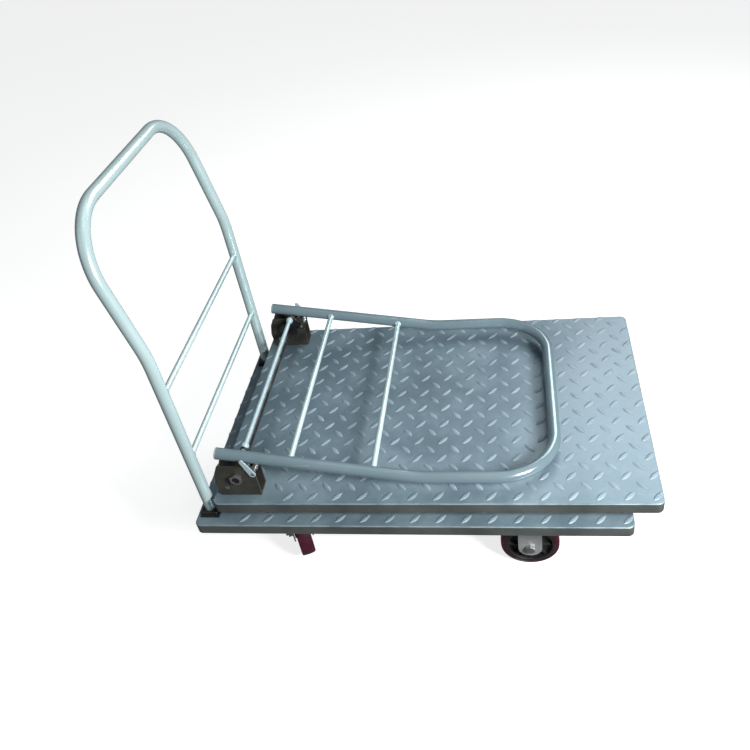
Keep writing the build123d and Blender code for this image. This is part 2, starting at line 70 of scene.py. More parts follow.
class TruckSizes(bpy.types.PropertyGroup):
    """Sizes that only the visible model uses."""
    lug_pitch: FloatProperty(name="Lug pitch", description="Distance between like tread lugs",
                             default=0.052, unit="LENGTH")
    lug_length: FloatProperty(name="Lug length", description="Length of one tread lug",
                              default=0.030, unit="LENGTH")
    lug_width: FloatProperty(name="Lug width", description="Width of one tread lug at its middle",
                             default=0.0115, unit="LENGTH")
    lug_height: FloatProperty(name="Lug height", description="Height of a tread lug above the plate",
                              default=0.0019, unit="LENGTH")
    fold_radius: FloatProperty(name="Fold radius", description="Outside radius of the skirt's fold",
                               default=0.003, unit="LENGTH")
    lug_shift_x: FloatProperty(name="Lug shift along", description="Tread pattern's shift along the deck",
                               default=-0.0026, unit="LENGTH")
    lug_shift_y: FloatProperty(name="Lug shift across", description="Tread pattern's shift across the deck",
                               default=0.0067, unit="LENGTH")
    lug_turn: FloatProperty(name="Lug turn", description="Degrees from a lug to the deck's length",
                            default=47.0)
    corner_clear: FloatProperty(name="Corner clear", description="Square at each deck corner without lugs",
                                default=0.016, unit="LENGTH")
    channel_width: FloatProperty(name="Channel width", description="Width of a cross channel",
                                 default=0.110, unit="LENGTH")
    tube_radius: FloatProperty(name="Tube radius", description="Outside radius of the handle tube",
                               default=0.0125, unit="LENGTH")
    stile_offset: FloatProperty(name="Stile offset", description="Upper hinge pivot to the stile's centre",
                                default=0.046, unit="LENGTH")
    lean_start: FloatProperty(name="Lean start", description="Height above the deck where the stiles bend",
                              default=0.42, unit="LENGTH")
    lean_radius: FloatProperty(name="Lean radius", description="Bend radius where the stiles start to lean",
                               default=0.30, unit="LENGTH")
    handle_height: FloatProperty(name="Handle height", description="Deck to the centre of the top bar",
                                 default=0.69, unit="LENGTH")
    loop_radius: FloatProperty(name="Loop radius", description="Bend radius of the loop's corners",
                               default=0.118, unit="LENGTH")
    foot_drop: FloatProperty(name="Foot drop", description="Upper hinge pivot down to the stile's end",
                             default=0.043, unit="LENGTH")
    bar_radius: FloatProperty(name="Crossbar radius", description="Radius of the crossbars",
                              default=0.006, unit="LENGTH")
    low_bar: FloatProperty(name="Low crossbar", description="Deck to the low crossbar", default=0.160,
                           unit="LENGTH")
    high_bar: FloatProperty(name="High crossbar", description="Deck to the high crossbar", default=0.330,
                            unit="LENGTH")
    tube_sides: IntProperty(name="Tube sides", description="Facets round a handle tube", default=32, min=8)


class TruckColours(bpy.types.PropertyGroup):
    """Base colours of the finishes."""
    deck: FloatVectorProperty(name="Deck paint", description="Paint of the tread plate", subtype="COLOR",
                              size=4, default=(0.150, 0.222, 0.268, 1))
    skirt: FloatVectorProperty(name="Frame paint", description="Paint of channels and ribs",
                               subtype="COLOR", size=4, default=(0.045, 0.050, 0.052, 1))
    tube: FloatVectorProperty(name="Handle paint", description="Paint of the handle tubes",
                              subtype="COLOR", size=4, default=(0.58, 0.76, 0.78, 1))
    bracket: FloatVectorProperty(name="Bracket paint", description="Paint of the hinge brackets",
                                 subtype="COLOR", size=4, default=(0.045, 0.043, 0.035, 1))
    tyre: FloatVectorProperty(name="Tyre", description="Polyurethane of the wheel treads",
                              subtype="COLOR", size=4, default=(0.060, 0.005, 0.018, 1))
    core: FloatVectorProperty(name="Wheel core", description="Nylon of the wheel cores",
                              subtype="COLOR", size=4, default=(0.012, 0.012, 0.013, 1))
    zinc: FloatVectorProperty(name="Zinc", description="Plating of forks and fasteners",
                              subtype="COLOR", size=4, default=(0.42, 0.44, 0.45, 1))
    # darker colour of the tyres' side faces: painted shade
    wall: FloatVectorProperty(name="Tread wall", description="Side face of the wheel treads",
                              subtype="COLOR", size=4, default=(0.022, 0.012, 0.014, 1))


def sizes():
    return bpy.context.scene.truck_sizes


def colours():
    return bpy.context.scene.truck_colours


# ---------------------------------------------------------------- surfaces

def grid_faces(rows, cols, close_rows=False, close_cols=False):
    """Quads that join each point of a rows x cols grid to its neighbours, as one array."""
    r = np.arange(rows if close_rows else rows - 1)
    c = np.arange(cols if close_cols else cols - 1)
    r, c = np.meshgrid(r, c, indexing="ij")
    r2, c2 = (r + 1) % rows, (c + 1) % cols
    return np.stack([r * cols + c, r * cols + c2, r2 * cols + c2, r2 * cols + c], -1).reshape(-1, 4)


def make_object(name, points, faces, smooth_deg=35.0):
    """Mesh object from points and faces, turned outward, smooth up to an angle."""
    mesh = bpy.data.meshes.new(name)
    mesh.from_pydata(np.asarray(points).reshape(-1, 3).tolist(), [], [list(f) for f in faces])
    work = bmesh.new()
    work.from_mesh(mesh)
    bmesh.ops.remove_doubles(work, verts=work.verts, dist=1e-7)
    if work.calc_volume(signed=True) < 0:
        bmesh.ops.reverse_faces(work, faces=work.faces)
    work.to_mesh(mesh)
    work.free()
    mesh.shade_smooth()
    mesh.set_sharp_from_angle(angle=math.radians(smooth_deg))
    obj = bpy.data.objects.new(name, mesh)
    bpy.context.scene.collection.objects.link(obj)
    return obj


def joined(parts):
    """One (points, faces) pair from several."""
    points, faces, base = [], [], 0
    for p, f in parts:
        p = np.asarray(p).reshape(-1, 3)
        points.append(p)
        faces += [[i + base for i in face] for face in f]
        base += len(p)
    return np.concatenate(points), faces


def rounded_path(corners, radii, arc_steps=18):
    """Centre line through corners, each inner corner rounded by a tangent arc of its radius."""
    corners = [np.array(c, float) for c in corners]
    line = [corners[0]]
    turn = np.linspace(0, 1, arc_steps)[:, None]
    for before, corner, after, radius in zip(corners, corners[1:], corners[2:], radii):
        u = (before - corner) / np.linalg.norm(before - corner)
        v = (after - corner) / np.linalg.norm(after - corner)
        half = math.acos(np.clip(u @ v, -1, 1)) / 2
        middle = corner + (u + v) / np.linalg.norm(u + v) * radius / math.sin(half)
        start = corner + u * radius / math.tan(half)
        a = (start - middle) / radius
        b = -u
        angle = turn * (math.pi - 2 * half)
        line.extend(middle + radius * (np.cos(angle) * a + np.sin(angle) * b))
    line.append(corners[-1])
    return np.array(line)


def tube(line, radius, sides, guide, closed=False):
    """Round section carried along a line. radius is a number or one value per station; guide is any
    direction that is never along the line, and sets where each section starts."""
    line = np.asarray(line, float)
    ahead = np.roll(line, -1, 0) - np.roll(line, 1, 0)
    if not closed:
        ahead[0], ahead[-1] = line[1] - line[0], line[-1] - line[-2]
    ahead /= np.linalg.norm(ahead, axis=1)[:, None]
    side = np.asarray(guide, float) - (ahead @ np.asarray(guide, float))[:, None] * ahead
    side /= np.linalg.norm(side, axis=1)[:, None]
    up = np.cross(ahead, side)
    t = (np.arange(sides) + 0.5) * 2 * math.pi / sides
    ring = np.cos(t)[None, :, None] * side[:, None] + np.sin(t)[None, :, None] * up[:, None]
    size = np.broadcast_to(np.asarray(radius, float), (len(line),))
    points = line[:, None] + size[:, None, None] * ring
    faces = grid_faces(len(line), sides, close_rows=closed, close_cols=True).tolist()
    if not closed:
        last = (len(line) - 1) * sides
        faces += [list(range(sides))[::-1], list(range(last, last + sides))]
    return points, faces


def turned(profile, centre, axis, steps=64):
    """Closed ring turned about an axis through centre from (radius, along) corners."""
    r, along = np.array(profile, float).T
    axis = np.asarray(axis, float)
    other = np.array([0, 0, 1.0]) if abs(axis[2]) < 0.5 else np.array([1.0, 0, 0])
    side = np.cross(axis, other)
    t = np.linspace(0, 2 * math.pi, steps, endpoint=False)
    spoke = np.cos(t)[:, None] * side + np.sin(t)[:, None] * other
    points = np.asarray(centre) + r[None, :, None] * spoke[:, None] + along[None, :, None] * axis
    return points, grid_faces(steps, len(r), close_rows=True, close_cols=True).tolist()


def bead(start, end, radius, guide, stations=14):
    """Weld bead: a thin tube with ripples along it and tapered ends."""
    s = np.linspace(0, 1, stations)[:, None]
    line = np.asarray(start) * (1 - s) + np.asarray(end) * s
    ends = 0.25 + 0.75 * np.sin(math.pi * s[:, 0]) ** 0.35
    swell = radius * ends * (1 + 0.14 * np.cos(stations * 2.2 * s[:, 0]))
    return tube(line, swell, 7, guide)


def rim_bead(centre, bar_radius, tube_radius, side, turn, radius=0.0021):
    """Weld bead round a bar where it meets a round stile. The bar runs along Y; a point at angle a
    sits at y = side * sqrt(R^2 - x^2) from the stile's centre, before turn is applied."""
    a = np.linspace(0, 2 * math.pi, 40, endpoint=False)
    reach = bar_radius + radius * 0.35
    x, z = reach * np.cos(a), reach * np.sin(a)
    y = -side * np.sqrt(tube_radius ** 2 - x ** 2)
    line = np.stack([x, y, z], -1) @ np.array(turn).T + np.asarray(centre)
    swell = radius * (1 + 0.13 * np.cos(12 * a))
    return tube(line, swell, 8, (0, 1, 0), closed=True)


def softened(node, bevel, name=None, angle=35.0, segments=2):
    """Copy of a CAD node with merged corners and rounded edges, standing in for it."""
    mesh = frame["nodes"][node].data.copy()
    work = bmesh.new()
    work.from_mesh(mesh)
    bmesh.ops.remove_doubles(work, verts=work.verts, dist=2e-6)
    bmesh.ops.dissolve_limit(work, angle_limit=math.radians(1.0), verts=work.verts, edges=work.edges)
    work.to_mesh(mesh)
    work.free()
    mesh.materials.clear()
    mesh.shade_smooth()
    obj = bpy.data.objects.new(name or node + "_look", mesh)
    bpy.context.scene.collection.objects.link(obj)
    mesh.set_sharp_from_angle(angle=math.radians(angle))
    if bevel:
        edge = obj.modifiers.new("edges", "BEVEL")
        edge.width = bevel
        edge.segments = segments
        edge.limit_method = "ANGLE"
        edge.angle_limit = math.radians(angle)
        edge.harden_normals = True
    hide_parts(node)
    return obj


def body_of_node(node):
    return next(b for b, nodes in frame["record"]["behaviour"]["bodies"].items() if node in nodes)


def place(obj, node, material):
    """Lets a piece ride on the body of a CAD node and take its finish."""
    obj.data.materials.clear()
    obj.data.materials.append(material)
    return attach(obj, body_of_node(node))


# ---------------------------------------------------------------- shader groups

def group_sockets(group, inputs, outputs):
    for name, kind, value in inputs:
        socket = group.interface.new_socket(name, in_out="INPUT", socket_type=kind)
        socket.default_value = value
    for name, kind in outputs:
        group.interface.new_socket(name, in_out="OUTPUT", socket_type=kind)
    return group.nodes.new("NodeGroupInput"), group.nodes.new("NodeGroupOutput")


def math_node(tree, operation, a, b=None, clamp=False):
    node = tree.nodes.new("ShaderNodeMath")
    node.operation = operation
    node.use_clamp = clamp
    for socket, value in zip(node.inputs, (a, b)):
        if value is None:
            continue
        if isinstance(value, bpy.types.NodeSocket):
            tree.links.new(value, socket)
        else:
            socket.default_value = value
    return node.outputs[0]


def noise_node(tree, vector, scale, detail=4.0, roughness=0.55):
    node = tree.nodes.new("ShaderNodeTexNoise")
    tree.links.new(vector, node.inputs["Vector"])
    if isinstance(scale, bpy.types.NodeSocket):
        tree.links.new(scale, node.inputs["Scale"])
    else:
        node.inputs["Scale"].default_value = scale
    node.inputs["Detail"].default_value = detail
    node.inputs["Roughness"].default_value = roughness
    return node.outputs["Fac"]


def step_node(tree, value, low, high):
    node = tree.nodes.new("ShaderNodeMapRange")
    node.interpolation_type = "SMOOTHSTEP"
    tree.links.new(value, node.inputs["Value"])
    for name, v in (("From Min", low), ("From Max", high)):
        if isinstance(v, bpy.types.NodeSocket):
            tree.links.new(v, node.inputs[name])
        else:
            node.inputs[name].default_value = v
    return node.outputs["Result"]


def object_coordinates(tree):
    return tree.nodes.new("ShaderNodeTexCoord").outputs["Object"]


def stretched(tree, vector, scale, turn=(0, 0, 0)):
    node = tree.nodes.new("ShaderNodeMapping")
    tree.links.new(vector, node.inputs["Vector"])
    node.inputs["Scale"].default_value = scale
    node.inputs["Rotation"].default_value = turn
    return node.outputs["Vector"]


def weathering_group():
    """Blotches, dust and specks: three masks from noise at three sizes."""
    group = bpy.data.node_groups.new("Weathering", "ShaderNodeTree")
    entry, exit_ = group_sockets(
        group,
        [("Size", "NodeSocketFloat", 6.0), ("Dust", "NodeSocketFloat", 0.5),
         ("Specks", "NodeSocketFloat", 0.5)],
        [("Blotch", "NodeSocketFloat"), ("Dust", "NodeSocketFloat"), ("Specks", "NodeSocketFloat")])
    where = object_coordinates(group)
    blotch = noise_node(group, where, entry.outputs["Size"], 5, 0.6)
    fine = noise_node(group, where, math_node(group, "MULTIPLY", entry.outputs["Size"], 9.0), 6, 0.65)
    speck = noise_node(group, where, 900.0, 2, 0.5)
    dust = step_node(group, math_node(group, "ADD", math_node(group, "MULTIPLY", blotch, 0.6),
                                      math_node(group, "MULTIPLY", fine, 0.4)), 0.46, 0.66)
    group.links.new(step_node(group, blotch, 0.3, 0.7), exit_.inputs["Blotch"])
    group.links.new(math_node(group, "MULTIPLY", dust, entry.outputs["Dust"]), exit_.inputs["Dust"])
    specks = step_node(group, speck, 0.66, 0.74)
    group.links.new(math_node(group, "MULTIPLY", specks, entry.outputs["Specks"]), exit_.inputs["Specks"])
    return group


def scratch_group():
    """Fine scratches in two directions, broken up by noise."""
    group = bpy.data.node_groups.new("Scratches", "ShaderNodeTree")
    entry, exit_ = group_sockets(group, [("Amount", "NodeSocketFloat", 0.5)], [("Mask", "NodeSocketFloat")])
    where = object_coordinates(group)
    masks = []
    for turn, stretch in ((0.35, (1.4, 240, 240)), (-0.9, (2.0, 190, 190)), (1.9, (1.2, 320, 320))):
        along = stretched(group, where, stretch, (0, 0, turn))
        masks.append(step_node(group, noise_node(group, along, 1.0, 2, 0.5), 0.69, 0.73))
    gap = step_node(group, noise_node(group, where, 14.0, 3, 0.5), 0.5, 0.62)
    both = math_node(group, "MAXIMUM", math_node(group, "MAXIMUM", masks[0], masks[1]), masks[2])
    mask = math_node(group, "MULTIPLY", math_node(group, "MULTIPLY", both, gap), entry.outputs["Amount"])
    group.links.new(mask, exit_.inputs["Mask"])
    return group


def grain_group():
    """Surface texture height: orange peel of paint or grain of cast and moulded parts."""
    group = bpy.data.node_groups.new("Grain", "ShaderNodeTree")
    entry, exit_ = group_sockets(group, [("Scale", "NodeSocketFloat", 400.0)],
                                 [("Height", "NodeSocketFloat")])
    where = object_coordinates(group)
    coarse = noise_node(group, where, entry.outputs["Scale"], 2, 0.5)
    fine = noise_node(group, where, math_node(group, "MULTIPLY", entry.outputs["Scale"], 3.1), 2, 0.5)
    height = math_node(group, "ADD", coarse, math_node(group, "MULTIPLY", fine, 0.35))
    group.links.new(height, exit_.inputs["Height"])
    return group


def fold_group():
    """Masks from the way a surface faces: upright and downward faces for painted shade, and the line along a fold
    for wear with a painted highlight.
    """
    group = bpy.data.node_groups.new("Fold", "ShaderNodeTree")
    entry, exit_ = group_sockets(group, [("Break", "NodeSocketFloat", 30.0)],
                                 [("Side", "NodeSocketFloat"), ("Worn", "NodeSocketFloat")])
    where = group.nodes.new("ShaderNodeTexCoord")
    split = group.nodes.new("ShaderNodeSeparateXYZ")
    group.links.new(where.outputs["Normal"], split.inputs[0])
    up = split.outputs["Z"]
    # upright and downward faces: mask for painted shade
    side = math_node(group, "SUBTRACT", 1.0, step_node(group, up, 0.1, 0.75))
    # the fold's bend: mask for wear with a painted highlight
    line = math_node(group, "MULTIPLY", step_node(group, up, 0.2, 0.6),
                     math_node(group, "SUBTRACT", 1.0, step_node(group, up, 0.9, 0.995)))
    patches = noise_node(group, where.outputs["Object"], entry.outputs["Break"], 4)
    broken = step_node(group, patches, 0.35, 0.6)
    group.links.new(side, exit_.inputs["Side"])
    group.links.new(math_node(group, "MULTIPLY", line, broken), exit_.inputs["Worn"])
    return group


def use_group(tree, name, **values):
    node = tree.nodes.new("ShaderNodeGroup")
    node.node_tree = bpy.data.node_groups[name]
    for key, value in values.items():
        node.inputs[key].default_value = value
    return node


def mix_colour(tree, factor, a, b):
    node = tree.nodes.new("ShaderNodeMix")
    node.data_type = "RGBA"
    node.clamp_factor = True
    for socket, value in ((node.inputs[0], factor), (node.inputs[6], a), (node.inputs[7], b)):
        if isinstance(value, bpy.types.NodeSocket):
            tree.links.new(value, socket)
        else:
            socket.default_value = value
    return node.outputs[2]


def scaled(colour, k):
    return tuple(min(1.0, c * k) for c in colour[:3]) + (1.0,)


def towards(colour, other, share):
    return tuple(a * (1 - share) + b * share for a, b in zip(colour[:3], other)) + (1.0,)


class Finish:
    """A material being put together round one Principled BSDF."""

    def __init__(self, name):
        self.material = bpy.data.materials.new(LOOK + name)
        self.material.use_nodes = True
        self.tree = self.material.node_tree
        self.shader = self.tree.nodes["Principled BSDF"]

    def fixed(self, **values):
        for key, value in values.items():
            self.shader.inputs[key.replace("_", " ")].default_value = value
        return self

    def colour(self, socket):
        self.tree.links.new(socket, self.shader.inputs["Base Color"])

    def roughness(self, socket):
        self.tree.links.new(socket, self.shader.inputs["Roughness"])

    def bump(self, height, strength, distance):
        node = self.tree.nodes.new("ShaderNodeBump")
        node.inputs["Strength"].default_value = strength
        node.inputs["Distance"].default_value = distance
        self.tree.links.new(height, node.inputs["Height"])
        self.tree.links.new(node.outputs["Normal"], self.shader.inputs["Normal"])


def layered(name, base, metallic=0.0, rough=(0.35, 0.5), dust=0.4, dust_colour=(0.55, 0.55, 0.52),
            specks=0.4, scratches=0.4, scratch_colour=None, grain=420.0, grain_depth=0.00006, size=6.0,
            coat=0.0, spread=0.14, side_shade_colour=None, worn_and_highlight_colour=None):
    """Blotched base colour, dust, dark specks and scratches over a grained surface. A side colour is painted shade
    on the upright and downward faces, and a lighter colour along folds is wear with a painted highlight."""
    finish = Finish(name)
    tree = finish.tree
    wear = use_group(tree, "Weathering", Size=size, Dust=dust, Specks=specks)
    marks = use_group(tree, "Scratches", Amount=scratches)
    colour = mix_colour(tree, wear.outputs["Blotch"], scaled(base, 1 - spread), scaled(base, 1 + spread))
    colour = mix_colour(tree, wear.outputs["Dust"], colour, towards(base, dust_colour, 0.5))
    colour = mix_colour(tree, wear.outputs["Specks"], colour, scaled(base, 0.35))
    colour = mix_colour(tree, marks.outputs["Mask"], colour, scratch_colour or scaled(base, 1.7))
    # painted shade on upright and downward faces, wear with a painted highlight along folds
    if side_shade_colour:
        fold = use_group(tree, "Fold", Break=30.0)
        side = mix_colour(tree, wear.outputs["Blotch"], scaled(side_shade_colour, 0.75), scaled(side_shade_colour, 1.25))
        colour = mix_colour(tree, fold.outputs["Side"], colour, side)
        colour = mix_colour(tree, math_node(tree, "MULTIPLY", fold.outputs["Worn"], 0.7), colour, worn_and_highlight_colour)
    finish.colour(colour)
    low, high = rough
    soil = math_node(tree, "ADD", math_node(tree, "MULTIPLY", wear.outputs["Blotch"], high - low), low)
    soil = math_node(tree, "ADD", soil, math_node(tree, "MULTIPLY", wear.outputs["Dust"], 0.2), clamp=True)
    finish.roughness(soil)
    finish.bump(use_group(tree, "Grain", Scale=grain).outputs["Height"], 0.6, grain_depth)
    finish.fixed(Metallic=metallic, Coat_Weight=coat, Coat_Roughness=0.12)
    return finish.material


# the gloss that both handles share
HANDLE_GLOSS = dict(metallic=0.35, rough=(0.18, 0.26), dust=0.10, specks=0.15, scratches=0.25,
                    scratch_colour=(0.75, 0.78, 0.78, 1), grain=260.0, grain_depth=0.00002, size=4.0,
                    coat=0.5, spread=0.06)


def finishes(c):
    """What each finish is made of, by name, from the colour settings."""
    return {
        "deck_paint": dict(
            base=c.deck, metallic=0.25, rough=(0.32, 0.48), dust=0.35, dust_colour=(0.40, 0.44, 0.44),
            specks=0.3, scratches=0.3, size=7.0, coat=0.12, spread=0.16,
            # side colour: painted shade on skirts and underside; fold colour: wear with a painted highlight
            side_shade_colour=(0.085, 0.098, 0.094, 1), worn_and_highlight_colour=(0.30, 0.37, 0.39, 1)),
        # lugs: deck colour lightened, partly wear on the raised tops, partly a painted highlight
        "lug_paint": dict(
            base=towards(c.deck, (0.42, 0.48, 0.56), 0.22), metallic=0.1, rough=(0.44, 0.54), dust=0.2,
            specks=0.2, scratches=0.4, size=9.0, coat=0.08),
        "frame_paint": dict(base=c.skirt, metallic=0.1, rough=(0.42, 0.6), dust=0.5, specks=0.3),
        # one handle paint in two copies: the lower handle's pale copy is painted light, the upper's, darkened
        # towards the deck colour, is painted shade
        "handle_paint": dict(base=c.tube, **HANDLE_GLOSS),
        "aged_handle_paint": dict(base=towards(c.tube, c.deck[:3], 0.88), **HANDLE_GLOSS),
        "crossbar_paint": dict(
            base=scaled(c.tube, 0.95), metallic=0.25, rough=(0.16, 0.24), dust=0.12, specks=0.2,
            scratches=0.2, grain=300.0, grain_depth=0.00002, coat=0.5, spread=0.08),
        "bracket_paint": dict(
            base=c.bracket, metallic=0.2, rough=(0.34, 0.52), dust=0.3, dust_colour=(0.12, 0.12, 0.09),
            specks=0.2, scratches=0.8, scratch_colour=(0.34, 0.34, 0.33, 1), size=18.0),
        "socket_paint": dict(
            base=(0.010, 0.010, 0.011), metallic=0.1, rough=(0.34, 0.5), dust=0.3,
            dust_colour=(0.08, 0.08, 0.08), scratches=0.7, scratch_colour=(0.20, 0.20, 0.20, 1), size=20.0),
        "zinc": dict(
            base=c.zinc, metallic=0.95, rough=(0.26, 0.42), dust=0.2, specks=0.25, scratches=0.3,
            size=40.0, spread=0.10, grain=900.0),
        "fork_zinc": dict(
            base=scaled(c.zinc, 0.92), metallic=0.45, rough=(0.28, 0.44), dust=0.35, specks=0.5,
            scratches=0.4, size=22.0, spread=0.12, grain=700.0),
        "shaft_steel": dict(
            base=(0.045, 0.045, 0.048), metallic=0.8, rough=(0.28, 0.42), dust=0.3, scratches=0.5,
            size=30.0),
        "pale_zinc": dict(
            base=(0.42, 0.55, 0.60), metallic=0.15, rough=(0.20, 0.28), dust=0.10, specks=0.15,
            scratches=0.15, size=30.0, spread=0.04, grain=120.0, grain_depth=0.000004),
        "bearing_steel": dict(
            base=(0.50, 0.50, 0.50), metallic=1.0, rough=(0.18, 0.3), dust=0.2, size=60.0),
        "core_plastic": dict(
            base=c.core, rough=(0.42, 0.6), dust=0.4, dust_colour=(0.07, 0.07, 0.065), specks=0.1,
            scratches=0.4, size=18.0, grain=900.0),
        "tyre_rubber": dict(
            base=c.tyre, rough=(0.32, 0.5), dust=0.35, dust_colour=(0.06, 0.03, 0.03), specks=0.3,
            scratches=0.3, size=16.0, grain=700.0, spread=0.2),
        # tyre side walls: darker than the tread, painted shade
        "tread_wall": dict(
            base=c.wall, rough=(0.4, 0.55), dust=0.35, dust_colour=(0.12, 0.10, 0.10), specks=0.3,
            scratches=0.4, size=24.0, grain=700.0, spread=0.25),
        "plug_plastic": dict(base=(0.30, 0.37, 0.39), rough=(0.34, 0.5), dust=0.2, size=30.0),
        "weld_metal": dict(
            base=scaled(c.tube, 0.92), metallic=0.55, rough=(0.24, 0.36), dust=0.2, specks=0.4, size=60.0,
            grain=1400.0, grain_depth=0.0001, coat=0.3),
    }


def material(name):
    """Named finish, made the first time it is asked for."""
    if LOOK + name in bpy.data.materials:
        return bpy.data.materials[LOOK + name]
    if "Weathering" not in bpy.data.node_groups:
        weathering_group(), scratch_group(), grain_group(), fold_group()
    return layered(name, **finishes(colours())[name])


# ---------------------------------------------------------------- pieces

class TruckOperator:
    """What the builders share."""
    bl_options = {"REGISTER", "UNDO"}

    def execute(self, context):
        self.build()
        return {"FINISHED"}


def channel_spans(low, high):
    """Both edges of each of the three cross channels, along the deck, from the box round all of them."""
    width = sizes().channel_width
    starts = (low.x, (low.x + high.x - width) / 2, high.x - width)
    return [(x, x + width) for x in starts]


class TRUCK_OT_decks(TruckOperator, bpy.types.Operator):
    """Pressed deck pans with their folded skirts"""
    bl_idname = "truck.decks"
    bl_label = "Deck Pans"

    def build(self):
        for node in ("lower_deck_pan", "upper_deck_pan"):
            place(softened(node, 0.0, angle=30.0), node, material("deck_paint"))


class TRUCK_OT_tread(TruckOperator, bpy.types.Operator):
    """Raised tread lugs of both decks, in two crossed rows"""
    bl_idname = "truck.tread"
    bl_label = "Tread Lugs"

    def build(self):
        s = sizes()
        for name, pan, blocked in (("lower", LOWER_PAN, self.channel_feet() + self.sockets()),
                                   ("upper", UPPER_PAN, self.brackets())):
            low, high = pan
            count = (int((high.x - low.x) / s.lug_pitch), int((high.y - low.y) / s.lug_pitch))
            i, j = (np.arange(-n // 2 - 1, n // 2 + 2) * s.lug_pitch for n in count)
            x, y = (a.ravel() for a in np.meshgrid(i, j))
            x = np.concatenate([x, x + s.lug_pitch / 2]) + (low.x + high.x) / 2 + s.lug_shift_x
            y = np.concatenate([y, y + s.lug_pitch / 2]) + (low.y + high.y) / 2 + s.lug_shift_y
            turn = np.repeat([-1.0, 1.0], len(x) // 2) * math.radians(s.lug_turn)
            reach = s.lug_length / 2 * 0.72
            in_x, in_y = (np.minimum(a - m, n - a) for a, m, n in ((x, low.x, high.x),
                                                                   (y, low.y, high.y)))
            keep = (in_x > 0) & (in_y > 0) & ~((in_x < s.corner_clear) & (in_y < s.corner_clear))
            for a, b in blocked:
                within_x = (x > a.x - reach) & (x < b.x + reach)
                keep &= ~(within_x & (y > a.y - reach) & (y < b.y + reach))
            across_fold = np.minimum(in_x, in_y) < reach + s.fold_radius
            groups = [self.lugs(x[k], y[k], turn[k], pan, stations)
                      for k, stations in ((keep & ~across_fold, 7), (keep & across_fold, 15))]
            obj = make_object(f"{name}_tread_lugs", *joined(groups), 50.0)
            place(obj, f"{name}_deck_pan", material("lug_paint"))

    @staticmethod
    def channel_feet():
        low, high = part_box("upper_cross_channels")
        return [(Vector((a, low.y, 0)), Vector((b, high.y, 0))) for a, b in channel_spans(low, high)]

    @staticmethod
    def sockets():
        low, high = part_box("lower_handle_sockets")
        wide = high.x - low.x
        return [(low, Vector((high.x, low.y + wide, 0))), (Vector((low.x, high.y - wide, 0)), high)]

    @staticmethod
    def brackets():
        return [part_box("hinge_bracket_near"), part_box("hinge_bracket_far")]

    @staticmethod
    def lugs(x, y, turn, pan, stations):
        """Lens-shaped bars: at station u the half width is w sin(pi u)^0.7 and the height
        h sin(pi u)^0.5 times a round arch across; each section closes just under the plate. A bar that
        reaches the fold follows its arc and dips into the skirt."""
        s = sizes()
        u = np.linspace(0.03, 0.97, stations)
        across = np.array([-1, -0.8, -0.42, 0, 0.42, 0.8, 1])
        arch = np.array([-0.12, 0.42, 0.86, 1, 0.86, 0.42, -0.12])
        long_way = (u[:, None] - 0.5) * s.lug_length + 0 * across
        wide = s.lug_width / 2 * np.sin(math.pi * u)[:, None] ** 0.7 * across
        high = s.lug_height * np.sin(math.pi * u)[:, None] ** 0.5 * arch
        flat = np.stack([long_way, wide, high], -1).reshape(-1, 3)
        c, d = np.cos(turn)[:, None], np.sin(turn)[:, None]
        drop = 0.0
        sides = []
        for at, axis in ((x[:, None] + c * flat[:, 0] - d * flat[:, 1], 0),
                         (y[:, None] + d * flat[:, 0] + c * flat[:, 1], 1)):
            middle, half = (pan[0][axis] + pan[1][axis]) / 2, (pan[1][axis] - pan[0][axis]) / 2
            past = np.abs(at - middle) - (half - s.fold_radius)
            angle = np.clip(past / s.fold_radius, 0, math.pi / 2)
            out = np.where(past > 0, half - s.fold_radius + (s.fold_radius + flat[:, 2]) * np.sin(angle),
                           np.abs(at - middle))
            sides.append(middle + np.sign(at - middle) * np.minimum(out, half - 0.00012))
            drop = drop + (s.fold_radius + flat[:, 2]) * (1 - np.cos(angle)) \
                + np.maximum(past - s.fold_radius * math.pi / 2, 0)
        points = np.stack([*sides, pan[1].z + flat[:, 2] - drop], -1)
        one = grid_faces(len(u), len(across), close_cols=True).tolist()
        last = (len(u) - 1) * len(across)
        one += [list(range(len(across)))[::-1], list(range(last, last + len(across)))]
        size = len(flat)
        faces = [[i + k * size for i in face] for k in range(len(x)) for face in one]
        return points, faces


class TRUCK_OT_underframe(TruckOperator, bpy.types.Operator):
    """Cross channels, ribs and their stitch welds"""
    bl_idname = "truck.underframe"
    bl_label = "Underframe"

    def build(self):
        for deck, pan in (("lower", LOWER_PAN), ("upper", UPPER_PAN)):
            for part, bevel in (("cross_channels", 0.0008), ("side_ribs", 0.0006)):
                node = f"{deck}_{part}"
                place(softened(node, bevel), node, material("frame_paint"))
            low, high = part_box(f"{deck}_cross_channels")
            margin, half_bead, throat = 0.05, 0.018, 0.0024
            beads = []
            for span in channel_spans(low, high):
                for edge, away in zip(span, (-1, 1)):
                    for y in np.linspace(low.y + margin, high.y - margin, 5):
                        at = np.array([edge + away * throat / 3, y, high.z - 0.001])
                        beads.append(bead(at - (0, half_bead, 0), at + (0, half_bead, 0), throat, (1, 0, 0)))
            obj = make_object(f"{deck}_stitch_welds", *joined(beads), 50.0)
            place(obj, f"{deck}_cross_channels", material("frame_paint"))


def swing(points, pivot, degrees):
    """Points turned about the Y line through pivot, from upright towards +X."""
    a = math.radians(degrees)
    turn = np.array([[math.cos(a), 0, math.sin(a)], [0, 1, 0], [-math.sin(a), 0, math.cos(a)]])
    return (np.asarray(points) - pivot) @ turn.T + pivot, turn


